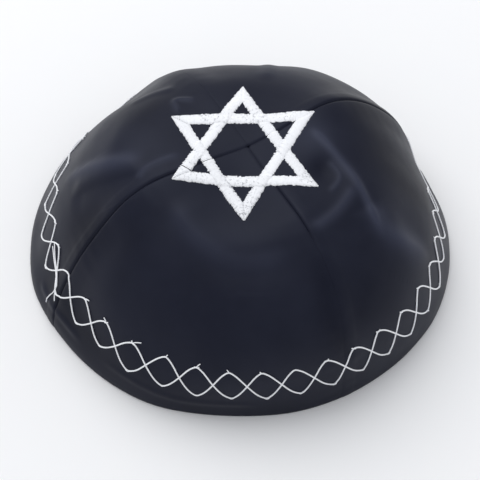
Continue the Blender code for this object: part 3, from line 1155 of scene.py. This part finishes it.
def all_diamonds():
    azimuths = [FIRST_DIAMOND]
    for _, count, step in STITCH_RUNS:
        azimuths += [azimuths[-1] + step * (k + 1) for k in range(count)]
    course = np.array(BORDER_COURSE, float).T
    rows = []
    for azimuth in azimuths:
        outer, inner, ahead = (np.interp(azimuth, course[0], column) for column in course[1:])
        outer, inner = border_random.normal((outer, inner), UNEVEN)
        rows.append([azimuth, outer, azimuth + ahead, inner])
    hidden = DIAMOND_COUNT - len(rows)
    start, end = rows[-1][0], rows[0][0] + 360.0
    for k in range(1, hidden + 1):
        azimuth = start + (end - start) * k / (hidden + 1)
        outer, inner = border_random.normal((HIDDEN_OUTER, HIDDEN_INNER), UNEVEN)
        rows.append([azimuth, outer, azimuth, inner])
    return rows


def zigzag(first):
    """One thread's route as azimuth and height, with rounded peaks and straighter legs."""
    rows = DIAMONDS
    sides = [2 * ((k + first) % 2) for k in range(len(rows))]
    peaks = [(row[side], row[side + 1] * MM) for row, side in zip(rows, sides)]
    peaks.append((peaks[0][0] + 360.0, peaks[0][1]))
    route = []
    for (a0, h0), (a1, h1) in zip(peaks[:-1], peaks[1:]):
        for share in LEG_SHARES:
            climb = PEAK_ROUNDNESS * 0.5 * (1.0 - math.cos(math.pi * share)) + (1.0 - PEAK_ROUNDNESS) * share
            sway = 0.15 * MM * border_random.normal() if share == 0.5 else 0.0
            route.append((a0 + (a1 - a0) * share, h0 + (h1 - h0) * climb + sway))
    route.append(peaks[-1])
    return np.array(route)


def lay_thread(route, lift, per_leg=10, step=BORDER_STEP):
    """Points and normals every step along a route that is given as azimuth and height."""
    line = smooth_line(np.column_stack([route[:, 0], route[:, 1] / MM]), per_leg)
    azimuth, height = line[:, 0], line[:, 1] * MM
    tilt = tilt_above_hem(azimuth, height)
    point = dome_point(azimuth, tilt)
    along = np.concatenate([[0.0], np.cumsum(np.linalg.norm(np.diff(point, axis=0), axis=1))])
    even = np.linspace(0.0, along[-1], max(int(along[-1] / step), 4))
    azimuth, tilt = np.interp(even, along, azimuth), np.interp(even, along, tilt)
    lifts = lift(even / along[-1]) if callable(lift) else lift
    height = cloth_height(azimuth, tilt)
    height = np.maximum(height, height * 0.5)
    normal = dome_normal(azimuth, tilt)
    return dome_point(azimuth, tilt) + normal * (height + lifts)[:, None], normal


DIAMONDS = all_diamonds()
for first, name in ((0, "border_thread_a"), (1, "border_thread_b")):
    lift = 0.16 * MM + 0.12 * MM * first
    points, normals = lay_thread(zigzag(first), lift, per_leg=5)
    radii = np.full(len(points), BORDER_THREAD_RADIUS)
    grey_share = np.full(len(points), 0.1)
    sweep(name, points[None], normals[None], radii[None], grey_share[None], sides=10, plies=0.10)
    print(name, "length, mm:", round(float(np.linalg.norm(np.diff(points, axis=0), axis=1).sum() / MM)))

# %% [markdown]
# Where the zigzag was started and fastened off, on the left, both threads run straight for a
# little way, and two cut ends hang from it. At the peaks the machine made a short extra stitch,
# which stands out as a bright dot, and at the front left a few have a loose tuft.

# %% Fastening stitches, cut ends and tufts
FASTENING = (
    # route, places as (azimuth, height above the hem in mm)
    ("first run", ((192, 27), (196, 24), (200, 22), (203, 19))),
    ("second run", ((192, 25), (196, 23), (200, 21), (203, 18))),
    ("first cut end", ((203, 19), (203, 15), (202, 11), (202, 7))),
    ("second cut end", ((203, 18), (204, 15), (205, 13))),
)
TUFTS = (
    # number of the diamond whose inner peak carries it, lean in degrees, length mm
    (6, 2.0, 1.8), (7, -1.0, 1.6), (8, 2.5, 2.4), (9, 0.5, 1.4), (10, 1.0, 2.2), (11, -0.5, 1.6),
)
for name, places in FASTENING:
    route = np.array(places, float)
    route[:, 1] *= MM
    points, normals = lay_thread(route, 0.30 * MM, per_leg=6)
    shape = points.shape[:1]
    sweep("border_" + name.replace(" ", "_"), points[None], normals[None],
          np.full((1,) + shape, 0.25 * MM), np.full((1,) + shape, 0.1), sides=8, plies=0.10)


def short_stitches():
    """A short thick stitch over most peaks, along the hem."""
    centres, normals = [], []
    for outer_azimuth, outer, inner_azimuth, inner in DIAMONDS:
        for azimuth, height in ((outer_azimuth, outer), (inner_azimuth, inner)):
            if border_random.random() > 0.72:
                continue
            half = border_random.uniform(0.45, 0.8)
            lean = border_random.normal(0.0, 0.35) * MM
            route = np.array([(azimuth - half, height * MM - lean), (azimuth, height * MM),
                              (azimuth + half, height * MM + lean)])
            line = smooth_line(route * [1.0, 1.0 / MM], 3)
            tilt = tilt_above_hem(line[:, 0], line[:, 1] * MM)
            arch = np.sin(np.linspace(0.0, math.pi, len(line))) ** 0.6
            rise = cloth_height(line[:, 0], tilt) + arch * 0.55 * MM - 0.05 * MM
            normal = dome_normal(line[:, 0], tilt)
            centres.append(dome_point(line[:, 0], tilt) + normal * rise[:, None])
            normals.append(normal)
    return np.array(centres), np.array(normals)


def tuft_stitches():
    centres, normals = [], []
    for number, lean, length in TUFTS:
        _, _, azimuth, height = DIAMONDS[number]
        share = np.linspace(0.0, 1.0, 6)
        a = azimuth + lean * share ** 1.5
        tilt = tilt_above_hem(a, (height + length * share) * MM)
        rise = cloth_height(a, tilt) + (0.2 + 0.45 * share) * MM
        normal = dome_normal(a, tilt)
        centres.append(dome_point(a, tilt) + normal * rise[:, None])
        normals.append(normal)
    return np.array(centres), np.array(normals)


for name, (points, normals), radius in (
    ("border_short_stitches", short_stitches(), 0.27 * MM),
    ("border_tufts", tuft_stitches(), 0.22 * MM),
):
    size = points.shape[:2]
    sweep(name, points, normals, np.full(size, radius), np.full(size, 0.0), sides=8)

# %% [markdown]
# ## What is cloth
# The four gores are sheets: each was cut flat, about as wide as it is long, and is held in its
# shape by its seams.

# %% [markdown]
# ## Floor, light and camera
# The photograph was cut out on white. A broad pale floor, a large soft light overhead and a pale
# room come close to that without hiding the folds. The floor is one wide disc, so that its edge
# never shows. The camera's elevation, aim and lens were fitted outside this script to the cap's
# outline in the photograph.

# %% Floor
FLOOR_COLOUR = "#f8f8f8"


def make_floor():
    material, tree, shader = new_material("matt_paper")
    body = node(tree, "ShaderNodeTexCoord").outputs["Object"]
    fibre = node(tree, "ShaderNodeTexNoise", {"Scale": 60.0, "Detail": 3.0}, Vector=body)
    colour = node(
        tree, "ShaderNodeMix", {"data_type": "RGBA", 6: linear(FLOOR_COLOUR), 7: linear("#f7f7f8")},
        i0=fibre.outputs["Fac"],
    )
    tree.links.new(colour.outputs[2], shader.inputs["Base Color"])
    shader.inputs["Roughness"].default_value = 0.9
    bpy.ops.mesh.primitive_circle_add(vertices=96, radius=6.0, fill_type="NGON", location=(0.0, 0.0, -0.0002))
    floor = bpy.context.object
    floor.name = "floor"
    floor.data.materials.append(material)


make_floor()


# %% Lights
def area_light(name, place, aim, size, watts):
    data = bpy.data.lights.new(name, "AREA")
    data.shape = "DISK"
    data.size = size
    data.energy = watts
    light = bpy.data.objects.new(name, data)
    light.location = place
    light.rotation_euler = (Vector(aim) - Vector(place)).to_track_quat("-Z", "Y").to_euler()
    bpy.context.scene.collection.objects.link(light)
    return light


area_light("soft_box_over_the_crown", (-0.35, 0.55, 1.25), (0.0, 0.0, 0.04), 1.6, 11.0)

world = bpy.data.worlds.new("pale_room")
world.use_nodes = True
backdrop = world.node_tree.nodes["Background"]
backdrop.inputs["Color"].default_value = linear("#eef0f4")
backdrop.inputs["Strength"].default_value = 0.76
bpy.context.scene.world = world
bpy.context.scene.view_settings.view_transform = "Standard"

# %% Camera
CAMERA_ELEVATION = 54.96
CAMERA_DISTANCE = 1.0
CAMERA_AIM = (0.00009, -0.01287, 0.02175)
SENSOR = 36.0
LENS = 186.5


def make_camera():
    rise = math.radians(CAMERA_ELEVATION)
    back = Vector((0.0, -math.cos(rise), math.sin(rise)))
    data = bpy.data.cameras.new("camera")
    data.lens = LENS
    data.sensor_width = SENSOR
    data.clip_start = 0.05
    camera = bpy.data.objects.new("camera", data)
    camera.location = Vector(CAMERA_AIM) + back * CAMERA_DISTANCE
    camera.rotation_euler = back.to_track_quat("Z", "Y").to_euler()
    bpy.context.scene.collection.objects.link(camera)
    bpy.context.scene.camera = camera


make_camera()
